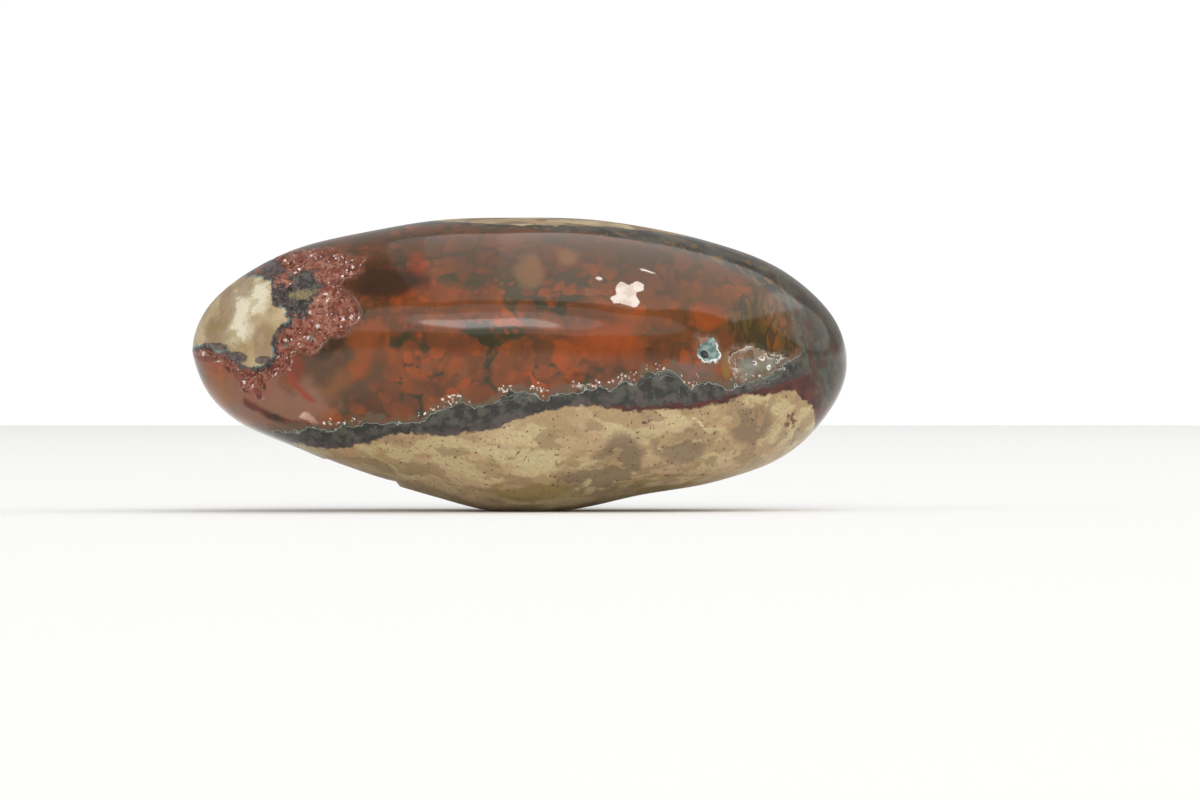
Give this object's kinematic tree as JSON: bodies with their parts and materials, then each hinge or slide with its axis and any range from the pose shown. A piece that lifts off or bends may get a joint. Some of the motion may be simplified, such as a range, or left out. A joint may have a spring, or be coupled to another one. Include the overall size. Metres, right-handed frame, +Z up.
{
  "type": "fire opal",
  "caption": "Polished freeform fire opal, a plump bean with an orange opal vein, a dark seam, tan rock below and a frosted crystal hollow, resting on a small ground flat.",
  "frame": {"origin": "middle of the bounding box's bottom, on the plane that the stone rests on", "axes": "+X along the stone to its dark end, +Z up, and the frosted hollow's side looks along -Y"},
  "size_m": [0.019, 0.0084, 0.0085],
  "materials": {
    "polished_opal": "polished, glassy opal with dull tan rock"
  },
  "bodies": {
    "root": {"fire_opal": "polished_opal"}
  },
  "joints": []
}
